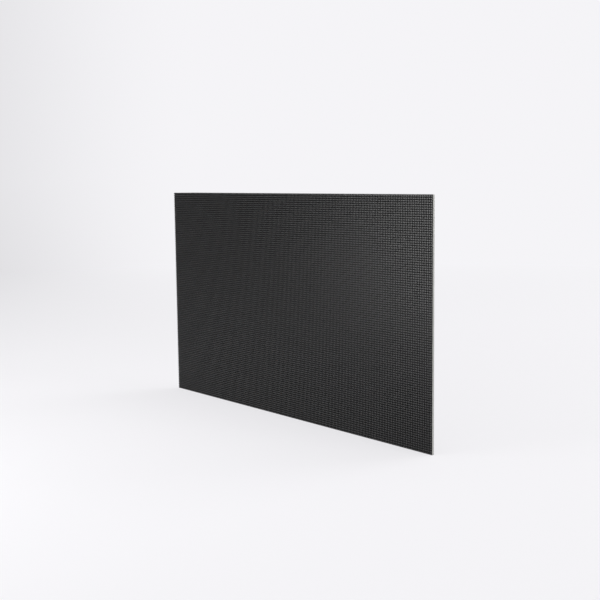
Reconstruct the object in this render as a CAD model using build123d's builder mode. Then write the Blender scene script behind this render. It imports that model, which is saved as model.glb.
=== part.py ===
from build123d import *
import os
from math import cos, radians, tan

# Fine-pitch LED matrix panel, in millimetres: a circuit board with a grid of light-emitting packages
# on its front and the driving parts on its back, screwed to a moulded frame.
# X runs along the panel, Y from the front to the back and Z up. The panel stands on Z = 0, and the
# origin is under the middle of its whole depth, guide pins included.

os.makedirs("parts", exist_ok=True)

# Grid of light-emitting packages
columns = 192
rows = 108
pitch = 1.5625
led_size = 1.0
led_height = 0.7

# Circuit board
board_thickness = 1.6

# Moulded rear frame
frame_depth = 12.0
side_gap = 0.8
side_bevel = 45.0
frame_wall = 2.0
frame_web = 2.0
band_width = 16.0
rib_width = 12.0
window_columns = 3
window_rows = 2
window_corner = 4.0
rear_chamfer = 0.6
arrow_length = 9.0
arrow_head = 5.0
arrow_stem = 1.8
arrow_depth = 0.5

# Screws that hold the frame to threaded spacers soldered on the board
screw_diameter = 3.0
screw_head = 5.5
screw_head_height = 2.0
screw_edge = 0.6
screw_recess = 2.6
screw_engagement = 3.5
spacer_diameter = 6.0
spacer_height = 5.0
screw_boss = 9.0
cross_width = 0.8
cross_span = 3.0
cross_depth = 0.9

# Ring magnets, each held in its pocket by a countersunk screw
magnet_diameter = 12.0
magnet_thickness = 4.0
magnet_setback = 8.0
magnet_pocket_wall = 1.6
magnet_screw_head = 6.0
magnet_screw_length = 9.0

# Threaded inserts for mounting
insert_diameter = 4.8
insert_bore = 3.0
insert_length = 6.0
insert_boss = 9.0

# Guide pins
pin_diameter = 4.0
pin_proud = 4.0
pin_chamfer = 0.8
pin_shank = 3.0
pin_seat = 6.0
pin_boss = 9.0

# Signal headers: two rows of contacts in a keyed shroud
contact_pitch = 2.54
contact_size = 0.64
contact_rows = 13
contact_length = 8.4
shroud_length = 40.6
shroud_width = 9.0
shroud_height = 9.1
shroud_wall = 1.1
shroud_floor = 2.5
key_width = 4.5
key_depth = 5.0

# Power header: one row of heavy contacts in front of a latching wall
power_contacts_count = 4
power_pitch = 3.96
power_contact = 1.14
power_contact_length = 8.6
power_margin = 1.96
power_width = 8.5
power_base = 3.4
power_height = 9.4
power_back_wall = 1.5
power_latch = 2.2

# Chips: length, width and height of each body, with the span over the drivers' leads
driver_length = 8.65
driver_width = 3.9
driver_height = 1.5
driver_span = 6.0
switch_length = 9.9
switch_width = 3.9
switch_height = 1.5
buffer_length = 6.5
buffer_width = 4.4
buffer_height = 1.1
memory_length = 4.9
memory_width = 3.9
memory_height = 1.4
chip_draft = 0.2
drivers_across = 4
drivers_up = 3
switches_per_strip = 7
buffers = 4

# Small parts: length, width and height
capacitor_length = 1.6
capacitor_width = 0.8
capacitor_height = 0.8
resistor_length = 1.6
resistor_width = 0.8
resistor_height = 0.45
array_length = 3.2
array_width = 1.6
array_height = 0.55
diode_length = 4.3
diode_width = 2.6
diode_height = 2.2
diodes = 2
passive_gap = 2.0
passive_offset = 1.8
array_offset = 2.6

# Bulk capacitors
can_diameter = 6.3
can_height = 6.5
can_groove = 0.35
can_groove_height = 1.0
can_groove_width = 0.7
can_edge = 0.5
base_size = 6.6
base_height = 1.2
base_corner = 1.4
can_gap = 0.9

# Strip along one side of each window that is kept for headers and control chips
strip_width = 13.0

# Clearances
sliding = 0.15
thread_clearance = 0.05
contact_clearance = 0.03
head_clearance = 0.35
shank_clearance = 0.2

UP = (Align.CENTER, Align.CENTER, Align.MIN)
DOWN = (Align.CENTER, Align.CENTER, Align.MAX)

# Depths, measured back from the faces of the light-emitting packages
board_front = led_height
board_back = board_front + board_thickness
frame_back = board_back + frame_depth
total_depth = frame_back + pin_proud

# Widths, heights and the window grid
panel_width = columns * pitch
panel_height = rows * pitch
middle = panel_height / 2
bevel_shift = frame_depth * tan(radians(side_bevel))
front_half = panel_width / 2 - side_gap
rear_half = front_half - bevel_shift
window_width = (2 * (rear_half - band_width) - (window_columns - 1) * rib_width) / window_columns
window_height = (panel_height - 2 * band_width - (window_rows - 1) * rib_width) / window_rows
step_x = window_width + rib_width
step_z = window_height + rib_width


def rear_view(depth):
    """The plane at this depth, seen from behind: x to the viewer's right, y up, z towards the back."""
    return Plane(origin=(0, depth - total_depth / 2, 0), x_dir=(-1, 0, 0), z_dir=(0, 1, 0))


def window_centre(column, row):
    """The middle of a window, counted from the left and the bottom as seen from behind."""
    x = (column - (window_columns - 1) / 2) * step_x
    return x, middle + (row - (window_rows - 1) / 2) * step_z


def strip_side(column):
    """The side of a window that its strip is on: 1 for the right in the last column, else -1."""
    return 1 if column == window_columns - 1 else -1


def strip_centre(column, row):
    """The middle of a window's strip."""
    x, z = window_centre(column, row)
    return x + strip_side(column) * (window_width - strip_width) / 2, z


def strip_places(column, row, count):
    """Places spread evenly up a window's strip."""
    x, z = strip_centre(column, row)
    step = window_height / count
    return [(x, z + (i - (count - 1) / 2) * step) for i in range(count)]


def driver_places():
    """Places of the driver chips, spread evenly over each window beside its strip."""
    places = []
    across = (window_width - strip_width) / drivers_across
    up = window_height / drivers_up
    for column in range(window_columns):
        for row in range(window_rows):
            x, z = window_centre(column, row)
            x -= strip_side(column) * strip_width / 2
            for i in range(drivers_across):
                for j in range(drivers_up):
                    chip_x = x + (i - (drivers_across - 1) / 2) * across
                    chip_z = z + (j - (drivers_up - 1) / 2) * up
                    places.append((chip_x, chip_z))
    return places


def raised(places, height):
    """The same places, raised off their plane."""
    return [(x, z, height) for x, z in places]


# Places on the frame
band_x = rear_half - band_width / 2
band_low = band_width / 2
band_high = panel_height - band_width / 2
levels = (band_low, middle, band_high)
window_xs = [window_centre(i, 0)[0] for i in range(window_columns)]
window_zs = [window_centre(0, j)[1] for j in range(window_rows)]
rib_xs = [(i - (window_columns - 2) / 2) * step_x for i in range(window_columns - 1)]
screw_places = [(x, z) for x in rib_xs for z in levels] + [(-band_x, middle), (band_x, middle)]
insert_places = [(x, z) for x in (-band_x, band_x) for z in (band_low, band_high)]
magnet_x = rear_half - magnet_setback
magnet_places = [(x, z) for x in window_xs for z in (magnet_setback, panel_height - magnet_setback)]
magnet_places += [(x, z) for x in (-magnet_x, magnet_x) for z in window_zs]
pin_places = [(window_xs[0], middle), (window_xs[-1], middle)]
arrow_place = ((window_xs[-1] + rib_xs[-1]) / 2, band_high)

# Places on the board
last_column = window_columns - 1
top_row = window_rows - 1
power_column = window_columns // 2
chip_places = driver_places()
passive_height = driver_span / 2 + passive_gap
capacitor_places = [(x - passive_offset, z + passive_height) for x, z in chip_places]
resistor_places = [(x + passive_offset, z + passive_height) for x, z in chip_places]
switch_places = strip_places(0, 0, switches_per_strip) + strip_places(last_column, 0, switches_per_strip)
control_places = strip_places(power_column, 0, 1 + buffers + diodes)
memory_place = control_places[0]
buffer_places = control_places[1 : 1 + buffers]
diode_places = control_places[1 + buffers :]
signal_in_place = strip_centre(0, top_row)
signal_out_place = strip_centre(last_column, top_row)
power_place = strip_centre(power_column, top_row)
power_length = (power_contacts_count - 1) * power_pitch + 2 * power_margin


def array_places():
    """Places of the resistor arrays, in the gaps above and below the signal headers."""
    height = (window_height + shroud_length) / 4
    headers = (signal_in_place, signal_out_place)
    return [(x + i * array_offset, z + j * height) for x, z in headers for i in (-1, 1) for j in (-1, 1)]


def can_places():
    """Places of the bulk capacitors, two above and two below the power header."""
    x, z = power_place
    near = power_length / 2 + can_gap + base_size / 2
    far = near + base_size + can_gap
    return [(x, z + height) for height in (-far, -near, near, far)]


# Circuit board
with BuildPart() as circuit_board:
    with BuildSketch(rear_view(board_front)):
        with Locations((0, middle)):
            Rectangle(panel_width, panel_height)
    extrude(amount=board_thickness)

# Light-emitting packages, a run of them in each row
with BuildPart() as led_rows:
    with BuildSketch(rear_view(0)):
        with Locations((0, middle)):
            with GridLocations(1, pitch, 1, rows):
                Rectangle(panel_width - pitch + led_size, led_size)
    extrude(amount=led_height)


def bevelled_plan(front, depth):
    """Corners, from above, of a block on the board's back: this wide there, and narrowed by the bevel."""
    rear = front - depth * tan(radians(side_bevel))
    near = board_back - total_depth / 2
    far = near + depth
    return (-front, near), (front, near), (rear, far), (-rear, far)


def arrow_outline(x, z):
    """Corners of an upward arrow about this place, with a square-cut tip."""
    tip = z + arrow_length / 2
    foot = z - arrow_length / 2
    half = arrow_head / 2
    neck = tip - half
    stem = arrow_stem / 2
    head = (x + stem, neck), (x + half, neck), (x, tip), (x - half, neck), (x - stem, neck)
    return (x - stem, foot), (x + stem, foot), *head


# Rear frame: a hollow block with bevelled ends, pierced by windows with rims of their own
with BuildPart() as rear_frame:
    with BuildSketch(Plane.XY):
        with BuildLine():
            Polyline(*bevelled_plan(front_half, frame_depth), close=True)
        make_face()
    extrude(amount=panel_height)
    with BuildSketch(Plane.XY.offset(frame_wall)):
        with BuildLine():
            slope_wall = frame_wall / cos(radians(side_bevel))
            Polyline(*bevelled_plan(front_half - slope_wall, frame_depth - frame_web), close=True)
        make_face()
    extrude(amount=panel_height - 2 * frame_wall, mode=Mode.SUBTRACT)
    with BuildSketch(rear_view(board_back)):
        with Locations((0, middle)):
            with GridLocations(step_x, step_z, window_columns, window_rows):
                rim_corner = window_corner + frame_wall
                RectangleRounded(window_width + 2 * frame_wall, window_height + 2 * frame_wall, rim_corner)
    extrude(amount=frame_depth)
    with BuildSketch(rear_view(board_back)):
        with Locations((0, middle)):
            with GridLocations(step_x, step_z, window_columns, window_rows):
                RectangleRounded(window_width, window_height, window_corner)
    extrude(amount=frame_depth, mode=Mode.SUBTRACT)
    chamfer(rear_frame.faces().sort_by(Axis.Y)[-1].edges(), length=rear_chamfer)
    # Bosses, up to the foot of the chamfer, where the web takes over
    with BuildSketch(rear_view(board_back)):
        with Locations(*screw_places):
            Circle(screw_boss / 2)
        with Locations(*insert_places):
            Circle(insert_boss / 2)
        with Locations(*pin_places):
            Circle(pin_boss / 2)
        with Locations(*magnet_places):
            Circle(magnet_diameter / 2 + sliding + magnet_pocket_wall)
    extrude(amount=frame_depth - rear_chamfer)
    # Seats for the spacers, from the board's side
    with BuildSketch(rear_view(board_back)):
        with Locations(*screw_places):
            Circle(spacer_diameter / 2 + sliding)
    extrude(amount=spacer_height, mode=Mode.SUBTRACT)
    # Screw holes with sunk seats for the heads
    with BuildSketch(rear_view(frame_back)):
        with Locations(*screw_places):
            Circle(screw_diameter / 2 + shank_clearance)
    extrude(amount=-frame_depth, mode=Mode.SUBTRACT)
    with BuildSketch(rear_view(frame_back)):
        with Locations(*screw_places):
            Circle(screw_head / 2 + head_clearance)
    extrude(amount=-screw_recess, mode=Mode.SUBTRACT)
    # Seats for the inserts, the guide pins and the magnets, with the magnets' screw holes
    with BuildSketch(rear_view(frame_back)):
        with Locations(*insert_places):
            Circle(insert_diameter / 2)
    extrude(amount=-insert_length, mode=Mode.SUBTRACT)
    with BuildSketch(rear_view(frame_back)):
        with Locations(*pin_places):
            Circle(pin_shank / 2)
    extrude(amount=-pin_seat, mode=Mode.SUBTRACT)
    with BuildSketch(rear_view(frame_back)):
        with Locations(*magnet_places):
            Circle(magnet_diameter / 2 + sliding)
    extrude(amount=-magnet_thickness, mode=Mode.SUBTRACT)
    with BuildSketch(rear_view(frame_back)):
        with Locations(*magnet_places):
            Circle(screw_diameter / 2 + thread_clearance)
    extrude(amount=-magnet_screw_length, mode=Mode.SUBTRACT)
    # Arrow that points to the top edge
    with BuildSketch(rear_view(frame_back)):
        with BuildLine():
            Polyline(*arrow_outline(*arrow_place), close=True)
        make_face()
    extrude(amount=-arrow_depth, mode=Mode.SUBTRACT)

# Threaded spacers, soldered to the board
with BuildPart(rear_view(board_back)) as board_spacers:
    with Locations(*screw_places):
        Cylinder(spacer_diameter / 2, spacer_height, align=UP)
        Cylinder(screw_diameter / 2 + thread_clearance, spacer_height, align=UP, mode=Mode.SUBTRACT)


def cross_recess(places, height):
    """Cross-shaped driver recesses, cut down from this height."""
    with Locations(*raised(places, height)):
        Box(cross_span, cross_width, cross_depth, align=DOWN, mode=Mode.SUBTRACT)
        Box(cross_width, cross_span, cross_depth, align=DOWN, mode=Mode.SUBTRACT)


# Frame screws, seated in the frame
with BuildPart(rear_view(frame_back - screw_recess)) as frame_screws:
    shank = frame_depth - screw_recess - spacer_height + screw_engagement
    with Locations(*screw_places):
        Cylinder(screw_head / 2, screw_head_height, align=UP)
        Cylinder(screw_diameter / 2, shank, align=DOWN)
    chamfer(frame_screws.faces().group_by(Axis.Y)[-1].edges(), length=screw_edge)
    cross_recess(screw_places, screw_head_height)

# Ring magnets, countersunk and flush with the back of the frame
with BuildPart(rear_view(frame_back - magnet_thickness)) as magnets:
    with Locations(*magnet_places):
        Cylinder(magnet_diameter / 2, magnet_thickness, align=UP)
    with Locations(*raised(magnet_places, magnet_thickness)):
        CounterSinkHole(screw_diameter / 2 + shank_clearance, magnet_screw_head / 2 + shank_clearance)

# Countersunk screws through the magnets
with BuildPart(rear_view(frame_back)) as magnet_screws:
    head_drop = (magnet_screw_head - screw_diameter) / 2
    with Locations(*raised(magnet_places, -shank_clearance)):
        Cone(screw_diameter / 2, magnet_screw_head / 2, head_drop, align=DOWN)
        Cylinder(screw_diameter / 2, magnet_screw_length - shank_clearance, align=DOWN)
    cross_recess(magnet_places, -shank_clearance)

# Threaded inserts, flush with the back of the frame
with BuildPart(rear_view(frame_back)) as mounting_inserts:
    with Locations(*insert_places):
        Cylinder(insert_diameter / 2, insert_length, align=DOWN)
        Cylinder(insert_bore / 2, insert_length, align=DOWN, mode=Mode.SUBTRACT)

# Guide pins, with their shanks pressed into the frame and their shoulders on its back
with BuildPart(rear_view(frame_back)) as guide_pins:
    with Locations(*pin_places):
        Cylinder(pin_shank / 2, pin_seat, align=DOWN)
        Cylinder(pin_diameter / 2, pin_proud, align=UP)
    chamfer(guide_pins.faces().group_by(Axis.Y)[-1].edges(), length=pin_chamfer)


def signal_shroud(key_side):
    """A two-row shroud, open at the back, with a key slot in the wall on this side."""
    cavity_width = shroud_width - 2 * shroud_wall
    cavity_length = shroud_length - 2 * shroud_wall
    hole = contact_size + 2 * contact_clearance
    Box(shroud_width, shroud_length, shroud_height, align=UP)
    with Locations((0, 0, shroud_floor)):
        Box(cavity_width, cavity_length, shroud_height, align=UP, mode=Mode.SUBTRACT)
    with Locations((key_side * (cavity_width + shroud_width) / 4, 0, shroud_height)):
        Box(shroud_width / 2, key_width, key_depth, align=DOWN, mode=Mode.SUBTRACT)
    with GridLocations(contact_pitch, contact_pitch, 2, contact_rows):
        Box(hole, hole, shroud_floor, align=UP, mode=Mode.SUBTRACT)


def signal_contacts():
    """Square contacts in two rows."""
    with GridLocations(contact_pitch, contact_pitch, 2, contact_rows):
        Box(contact_size, contact_size, contact_length, align=UP)


# Signal headers, keyed towards the middle of the panel
with BuildPart(rear_view(board_back)) as signal_in_header:
    with Locations(signal_in_place):
        signal_shroud(-strip_side(0))

with BuildPart(rear_view(board_back)) as signal_in_contacts:
    with Locations(signal_in_place):
        signal_contacts()

with BuildPart(rear_view(board_back)) as signal_out_header:
    with Locations(signal_out_place):
        signal_shroud(-strip_side(last_column))

with BuildPart(rear_view(board_back)) as signal_out_contacts:
    with Locations(signal_out_place):
        signal_contacts()

# Power header: a base with a latching wall along one side
with BuildPart(rear_view(board_back)) as power_header:
    with Locations(power_place):
        Box(power_width, power_length, power_base, align=UP)
        with Locations(((power_back_wall - power_width) / 2, 0)):
            Box(power_back_wall, power_length, power_height, align=UP)
            with Locations((0, 0, power_height - power_latch)):
                with GridLocations(1, 2 * power_pitch, 1, 2):
                    Box(power_back_wall, power_latch, power_latch, align=DOWN, mode=Mode.SUBTRACT)
        with Locations((power_back_wall / 2, 0)):
            with GridLocations(1, power_pitch, 1, power_contacts_count):
                hole = power_contact + 2 * contact_clearance
                Box(hole, hole, power_base, align=UP, mode=Mode.SUBTRACT)

with BuildPart(rear_view(board_back)) as power_contacts:
    with Locations(power_place):
        with Locations((power_back_wall / 2, 0)):
            with GridLocations(1, power_pitch, 1, power_contacts_count):
                Box(power_contact, power_contact, power_contact_length, align=UP)


def plain_bodies(places, length, width, height):
    """Small blocks standing on the board."""
    with BuildPart(rear_view(board_back)) as bodies:
        with Locations(*places):
            Box(length, width, height, align=UP)
    return bodies


def moulded_bodies(places, length, width, height):
    """Chip bodies standing on the board, with their top edges drawn in."""
    with BuildPart(rear_view(board_back)) as bodies:
        with Locations(*places):
            Box(length, width, height, align=UP)
        chamfer(bodies.faces().group_by(Axis.Y)[-1].edges(), length=chip_draft)
    return bodies


# Chips and small parts
driver_chips = moulded_bodies(chip_places, driver_length, driver_width, driver_height)
row_switch_chips = moulded_bodies(switch_places, switch_length, switch_width, switch_height)
buffer_chips = moulded_bodies(buffer_places, buffer_length, buffer_width, buffer_height)
memory_chip = moulded_bodies([memory_place], memory_length, memory_width, memory_height)
surge_diodes = moulded_bodies(diode_places, diode_length, diode_width, diode_height)
decoupling_capacitors = plain_bodies(capacitor_places, capacitor_length, capacitor_width, capacitor_height)
current_resistors = plain_bodies(resistor_places, resistor_length, resistor_width, resistor_height)
resistor_arrays = plain_bodies(array_places(), array_length, array_width, array_height)

# Bulk capacitors: moulded bases and the cans on them
with BuildPart(rear_view(board_back)) as bulk_capacitor_bases:
    with Locations(*can_places()):
        Box(base_size, base_size, base_height, align=UP)
    upright = bulk_capacitor_bases.edges().filter_by(Axis.Y)
    chamfer(upright.group_by(Axis.X)[-1], length=base_corner)

with BuildPart(rear_view(board_back + base_height)) as bulk_capacitor_cans:
    with Locations(*can_places()):
        Cylinder(can_diameter / 2, can_height, align=UP)
    chamfer(bulk_capacitor_cans.faces().group_by(Axis.Y)[-1].edges(), length=can_edge)
    with BuildSketch(rear_view(board_back + base_height + can_groove_height)):
        with Locations(*can_places()):
            Circle(can_diameter / 2 + can_groove)
            Circle(can_diameter / 2 - can_groove, mode=Mode.SUBTRACT)
    extrude(amount=can_groove_width, mode=Mode.SUBTRACT)

pieces = {
    "circuit_board": circuit_board,
    "led_rows": led_rows,
    "rear_frame": rear_frame,
    "board_spacers": board_spacers,
    "frame_screws": frame_screws,
    "magnets": magnets,
    "magnet_screws": magnet_screws,
    "mounting_inserts": mounting_inserts,
    "guide_pins": guide_pins,
    "signal_in_header": signal_in_header,
    "signal_in_contacts": signal_in_contacts,
    "signal_out_header": signal_out_header,
    "signal_out_contacts": signal_out_contacts,
    "power_header": power_header,
    "power_contacts": power_contacts,
    "driver_chips": driver_chips,
    "row_switch_chips": row_switch_chips,
    "buffer_chips": buffer_chips,
    "memory_chip": memory_chip,
    "surge_diodes": surge_diodes,
    "decoupling_capacitors": decoupling_capacitors,
    "current_resistors": current_resistors,
    "resistor_arrays": resistor_arrays,
    "bulk_capacitor_bases": bulk_capacitor_bases,
    "bulk_capacitor_cans": bulk_capacitor_cans,
}
for name, piece in pieces.items():
    piece.part.label = name
    export_step(piece.part, f"parts/{name}.step")
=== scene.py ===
import math
import random

import bmesh
import bpy
from mathutils import Matrix, Vector


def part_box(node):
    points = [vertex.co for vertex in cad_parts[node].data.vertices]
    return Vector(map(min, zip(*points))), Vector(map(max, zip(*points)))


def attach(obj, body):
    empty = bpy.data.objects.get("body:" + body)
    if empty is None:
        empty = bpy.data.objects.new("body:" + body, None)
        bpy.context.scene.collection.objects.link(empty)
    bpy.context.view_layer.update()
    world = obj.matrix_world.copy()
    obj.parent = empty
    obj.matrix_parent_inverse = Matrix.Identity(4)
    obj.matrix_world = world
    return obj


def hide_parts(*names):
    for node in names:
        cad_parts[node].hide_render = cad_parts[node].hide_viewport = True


# Looks of a fine-pitch LED matrix panel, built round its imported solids, in metres.
# X runs along the panel, Y from the front to the back and Z up.

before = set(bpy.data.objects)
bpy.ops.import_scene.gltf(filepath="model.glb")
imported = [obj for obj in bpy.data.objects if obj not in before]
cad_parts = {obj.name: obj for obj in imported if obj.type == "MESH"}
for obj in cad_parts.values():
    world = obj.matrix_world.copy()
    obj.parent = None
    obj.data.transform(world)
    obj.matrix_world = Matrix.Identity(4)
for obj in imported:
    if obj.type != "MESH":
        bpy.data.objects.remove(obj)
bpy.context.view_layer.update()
MM = 0.001
SEED = 7

# Grid of light-emitting packages
COLUMNS = 192
ROWS = 108
LED_PIECES = 4
PACKAGE_CHAMFER = 0.045 * MM
PACKAGE_SINK = 0.01 * MM
PACKAGE_SHIFT = 0.01 * MM
PACKAGE_TILT = math.radians(0.2)

# Resin of the packages: its tones, the dark layer under it, and the three dies in it, in millimetres
RESIN = ((0.004, 0.004, 0.0041), (0.013, 0.013, 0.0133))
RESIN_TONES = (0.4, 0.7)
RESIN_ROUGHNESS = (0.36, 0.4)
BASE_LAYER = (0.007, 0.007, 0.007)
BASE_LAYER_HEIGHT = 0.2
DIE_PLACES = (0.24, 0.0, -0.24)
DIE_TINTS = ((0.115, 0.060, 0.044), (0.064, 0.085, 0.062), (0.060, 0.070, 0.104))
DIE_OFFSET = 0.02
DIE_HALF_WIDTH = 0.1
DIE_HALF_HEIGHT = 0.072
DIE_SHARE = 0.5
RESIN_GRAIN = 9000.0
RESIN_BUMP = 0.012 * MM

# Board: its solder mask, rougher at the back, and the layers and the weave at its cut edges
SOLDER_MASK = ((0.0035, 0.0037, 0.0038), (0.006, 0.0063, 0.0064))
MASK_GRAIN = 240.0
MASK_ROUGHNESS = 0.3
MASK_ROUGHER = 0.13
LAYER_SHARE = 0.35
# Radians that the wave of the layers turns in a millimetre of depth
LAYER_TURN = 7.9
LAMINATE = ((0.44, 0.44, 0.425), (0.35, 0.355, 0.335))
WEAVE = (0.29, 0.29, 0.265)
WEAVE_GRAIN = 1800.0
WEAVE_SHARE = 0.3
WEAVE_BUMP = 0.01 * MM

# Leads of the chips on the board's back: count on a side, pitch, width, span and foot
DRIVER_LEADS = (12, 0.635 * MM, 0.26 * MM, 6.0 * MM, 0.6 * MM)
SWITCH_LEADS = (8, 1.27 * MM, 0.42 * MM, 6.0 * MM, 0.65 * MM)
BUFFER_LEADS = (10, 0.65 * MM, 0.24 * MM, 6.4 * MM, 0.55 * MM)
MEMORY_LEADS = (4, 1.27 * MM, 0.42 * MM, 6.0 * MM, 0.65 * MM)
LEAD_THICKNESS = 0.16 * MM
LEAD_ROOT = 0.1 * MM
LEAD_SHOULDER = 0.22 * MM
# Share of the height where a lead leaves the body, and the way its thickness runs at the bends
LEAD_EXIT = 0.53
LEAD_SLANT = (0.45, 0.9)

# Bodies of the chips
STANDOFF = 0.08 * MM
CORNER = 0.08 * MM
DRAFT = 0.12 * MM
WAIST = (0.5, 0.56)
DIMPLE_RADIUS = 0.42 * MM
DIMPLE_INSET = 2.2 * DIMPLE_RADIUS
DIMPLE_DEPTH = 0.06 * MM
DIMPLE_SIDES = 12

# Pads and terminals, and the eased edges of their blocks
BLOCK_EDGE = 0.05 * MM
PAD_HEIGHT = 0.05 * MM
PAD_SLOPE = 0.03 * MM
WIDE_PAD_SLOPE = 0.05 * MM
PAD_MARGIN = 0.08 * MM
PAD_IN = 0.1 * MM
PAD_OUT = 0.22 * MM
TERMINAL_LENGTH = 0.32 * MM
TERMINAL_STEP = 0.02 * MM
TERMINAL_LAP = 0.4
ARRAY_TERMINALS = 4
ARRAY_PITCH = 0.8 * MM
ARRAY_TERMINAL_HALF = 0.25 * MM
ARRAY_PAD = 0.15 * MM

# Diodes: straps and pads at the ends, the printed band, and the stroke beside it
STRAP_HALF = 0.72 * MM
STRAP_IN = 0.3 * MM
STRAP_OUT = 0.2 * MM
STRAP_RISE = 0.55
DIODE_PAD_IN = 0.9 * MM
DIODE_PAD_OUT = 0.6 * MM
DIODE_PAD_SIDE = 0.3 * MM
BAND_FROM = 0.5 * MM
BAND_TO = 1.0 * MM
BAND_SIDE = 0.3 * MM
BAND_HEIGHT = 0.015 * MM
DIODE_STROKE = 0.9 * MM

# Bulk capacitors: the mark on each can, and the tabs under each base
MARK_INSET = 0.65 * MM
MARK_ARC = (math.radians(118), math.radians(242))
MARK_POINTS = 16
MARK_HEIGHT = 0.012 * MM
TAB_HALF = 0.4 * MM
TAB_IN = 0.4 * MM
TAB_OUT = 0.42 * MM
TAB_HEIGHT = 0.3 * MM

# Tails of the signal headers' contacts, from the shroud's side, and the contacts' tips
TAIL_IN = 1.0 * MM
TAIL_OUT = 1.1 * MM
TAIL_HEIGHT = 0.3 * MM
TAIL_PAD_OUT = 1.5 * MM
TAIL_PAD_SIDE = 0.2 * MM
# Inset and distance from the end, as shares of the contact's width
CONTACT_TIP = ((0.0, 0.9), (0.18, 0.3), (0.3, 0.0))

# Print on the board
LEGEND_WIDTH = 0.15 * MM
LEGEND_FINE = 0.12 * MM
LEGEND_BOLD = 0.24 * MM
LEGEND_HEIGHT = 0.02 * MM
LEGEND_GAP = 0.35 * MM
LEGEND_DOT = 0.2 * MM
LEGEND_DOT_GAP = 0.55 * MM

# Traces and vias: short stubs at some of the leads, and the buses between rows of drivers
TRACE_WIDTH = 0.2 * MM
TRACE_HEIGHT = 0.035 * MM
VIA_RADIUS = 0.24 * MM
VIA_TAPER = 0.88
DISC_SIDES = 12
STUB_SHARE = 0.6
STUB_WIDTH = 0.16 * MM
STUB_LENGTHS = (0.8 * MM, 1.25 * MM)
BUS_TRACES = 9
BUS_PITCH = 0.5 * MM
BUS_RISE = 6.6 * MM
BUS_STEPS = (2.2 * MM, 3.0 * MM)
BUS_OVERHANG = 4.6 * MM
BUS_STAGGER = 0.7 * MM
BUS_VIA_HEIGHT = 0.042 * MM
# Place of a bus's step past the second driver, and how much further in each next window and row
BUS_TURN = 4.0 * MM
BUS_TURN_BY_WINDOW = 3.0 * MM
BUS_TURN_BY_ROW = 5.0 * MM
# Wider gaps than these between drivers hold a rib of the frame
WINDOW_GAP = 20.0 * MM
ROW_GAP = 25.0 * MM

# Edges as they are rounded, and the threads of the brass bushes
EDGE_SEGMENTS = 2
MERGE_DISTANCE = 0.001 * MM
MERGE_ANGLE = math.radians(0.5)
BOARD_EDGE = 0.05 * MM
FRAME_EDGE = 0.25 * MM
SMALL_EDGE = 0.12 * MM
BUSH_EDGE = 0.15 * MM
SOFT_ANGLE = math.radians(35)
THREAD_PITCH = 0.5 * MM
THREAD_DEPTH = 0.27 * MM
THREAD_SIDES = 40
THREAD_RINGS = 4
INSERT_BORE = 1.25 * MM
SPACER_BORE = 1.3 * MM

# Share of a normal along Y: above the first a face is flat, and below the second it is a cut edge
FLAT_FACE = 0.9
CUT_FACE = 0.5

# Scales of the slow changes of tone in plastics and metals
FLOW_SCALE = 28.0
STAIN_SCALE = 160.0

# Plastics and inks: dark and light tone, roughness, scale of the grain and its height
PLASTICS = {
    "frame_plastic": ((0.018, 0.018, 0.019), (0.032, 0.032, 0.033), 0.5, 2400.0, 0.11 * MM),
    "header_black": ((0.014, 0.014, 0.015), (0.022, 0.022, 0.023), 0.45, 6000.0, 0.006 * MM),
    "header_white": ((0.70, 0.68, 0.62), (0.78, 0.76, 0.70), 0.42, 5000.0, 0.006 * MM),
    "capacitor_base": ((0.020, 0.020, 0.021), (0.030, 0.030, 0.031), 0.5, 7000.0, 0.006 * MM),
    "chip_black": ((0.018, 0.018, 0.018), (0.030, 0.029, 0.028), 0.58, 9000.0, 0.008 * MM),
    "diode_black": ((0.014, 0.014, 0.015), (0.024, 0.024, 0.024), 0.5, 8000.0, 0.008 * MM),
    "capacitor_ceramic": ((0.30, 0.21, 0.13), (0.38, 0.28, 0.18), 0.4, 9000.0, 0.004 * MM),
    "pale_ink": ((0.66, 0.66, 0.64), (0.78, 0.78, 0.76), 0.6, 9000.0, 0.004 * MM),
    "dark_ink": ((0.010, 0.010, 0.011), (0.018, 0.018, 0.019), 0.4, 9000.0, 0.002 * MM),
    "trace_mask": ((0.016, 0.018, 0.017), (0.030, 0.032, 0.030), 0.3, 4000.0, 0.002 * MM),
}

# Metals: dark and light tone, roughness, the stretch of the tool marks, their scale and height
EVEN = (1.0, 1.0, 1.0)
METALS = {
    "insert_brass": ((0.66, 0.46, 0.20), (0.80, 0.60, 0.30), 0.3, (1.0, 12.0, 1.0), 500.0, 0.004 * MM),
    "spacer_brass": ((0.62, 0.44, 0.20), (0.78, 0.58, 0.30), 0.32, (1.0, 12.0, 1.0), 500.0, 0.004 * MM),
    "screw_steel": ((0.40, 0.40, 0.39), (0.56, 0.56, 0.54), 0.34, EVEN, 1200.0, 0.004 * MM),
    "magnet_nickel": ((0.48, 0.47, 0.445), (0.62, 0.61, 0.58), 0.18, EVEN, 700.0, 0.006 * MM),
    "pin_steel": ((0.50, 0.50, 0.50), (0.66, 0.66, 0.65), 0.24, (1.0, 20.0, 1.0), 500.0, 0.004 * MM),
    "can_aluminium": ((0.66, 0.67, 0.68), (0.78, 0.79, 0.80), 0.3, (1.0, 0.05, 1.0), 4000.0, 0.002 * MM),
    "contact_gold": ((0.78, 0.52, 0.20), (0.92, 0.66, 0.30), 0.24, EVEN, 1200.0, 0.004 * MM),
    "contact_tin": ((0.58, 0.58, 0.57), (0.74, 0.74, 0.72), 0.36, EVEN, 3000.0, 0.004 * MM),
}

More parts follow.
